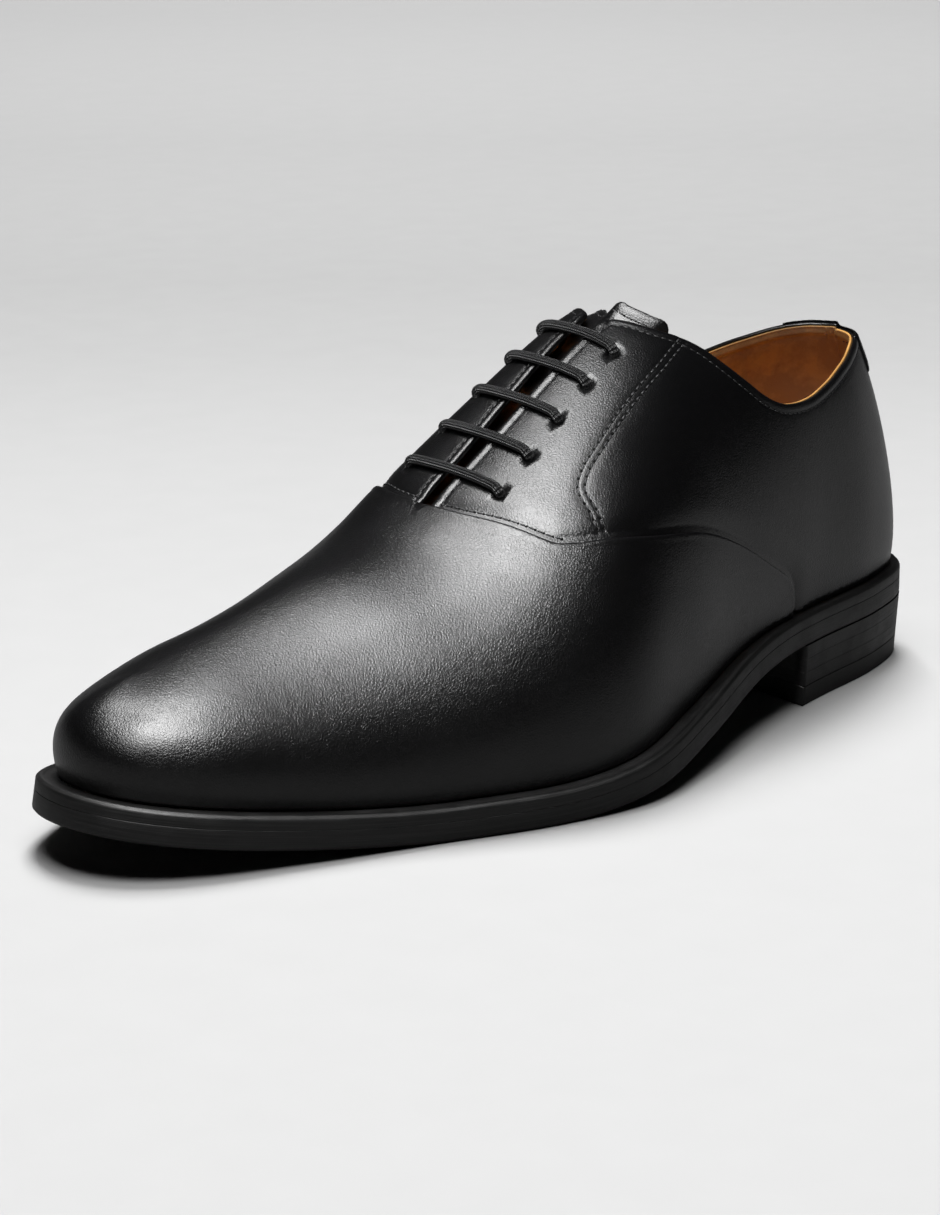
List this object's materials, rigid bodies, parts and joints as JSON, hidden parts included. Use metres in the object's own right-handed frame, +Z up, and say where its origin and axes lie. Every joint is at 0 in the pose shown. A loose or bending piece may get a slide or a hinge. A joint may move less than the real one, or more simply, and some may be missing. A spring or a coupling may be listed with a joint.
{
  "type": "leather oxford shoe",
  "caption": "Black leather oxford shoe with closed lacing over the tongue, a plain toe, a welted leather sole and a low stacked heel.",
  "frame": {"origin": "centre of the bounding box in plan, on the ground under the sole", "axes": "+X from heel to toe, +Y to the outer (lateral) side, +Z up"},
  "size_m": [0.305, 0.1124, 0.1155],
  "materials": {
    "black_calf": "black calf, fine grain, semi-gloss",
    "burnished_edge": "leather, inked and burnished nearly black",
    "tan_lining": "tan lining leather, matt",
    "veg_leather": "undyed vegetable tanned leather, matt",
    "rubber": "black rubber, matt",
    "cork": "cork filler, matt",
    "steel": "plain steel",
    "canvas": "woven cotton, matt",
    "black_cord": "waxed round cord, black"
  },
  "bodies": {
    "shoe": {"vamp": "black_calf", "quarter_lateral": "black_calf", "quarter_medial": "black_calf", "back_tab": "black_calf", "outsole": "burnished_edge", "welt": "burnished_edge", "heel_lift_1": "burnished_edge", "heel_lift_2": "burnished_edge", "heel_lift_3": "burnished_edge", "sock_lining": "tan_lining", "quarter_lining_lateral": "tan_lining", "quarter_lining_medial": "tan_lining", "insole": "veg_leather", "heel_counter": "veg_leather", "top_piece": "rubber", "cork_filler": "cork", "shank": "steel", "aglet_1": "steel", "aglet_2": "steel", "eyelet_lateral_1": "steel", "eyelet_lateral_2": "steel", "eyelet_lateral_3": "steel", "eyelet_lateral_4": "steel", "eyelet_lateral_5": "steel", "eyelet_medial_1": "steel", "eyelet_medial_2": "steel", "eyelet_medial_3": "steel", "eyelet_medial_4": "steel", "eyelet_medial_5": "steel", "heel_nail_1": "steel", "heel_nail_2": "steel", "heel_nail_3": "steel", "heel_nail_4": "steel", "heel_nail_5": "steel", "toe_puff": "canvas", "vamp_lining": "canvas", "lace": "black_cord"},
    "tongue": {"tongue": "black_calf", "tongue_lining": "tan_lining"}
  },
  "joints": [
    {"name": "tongue_hinge", "type": "hinge", "parent": "shoe", "child": "tongue", "pos_m": [0.0473, -0.0074, 0.062], "axis": [0, -1, 0], "range_deg": [0, 12], "stiffness_Nm_per_rad": 0.5}
  ]
}
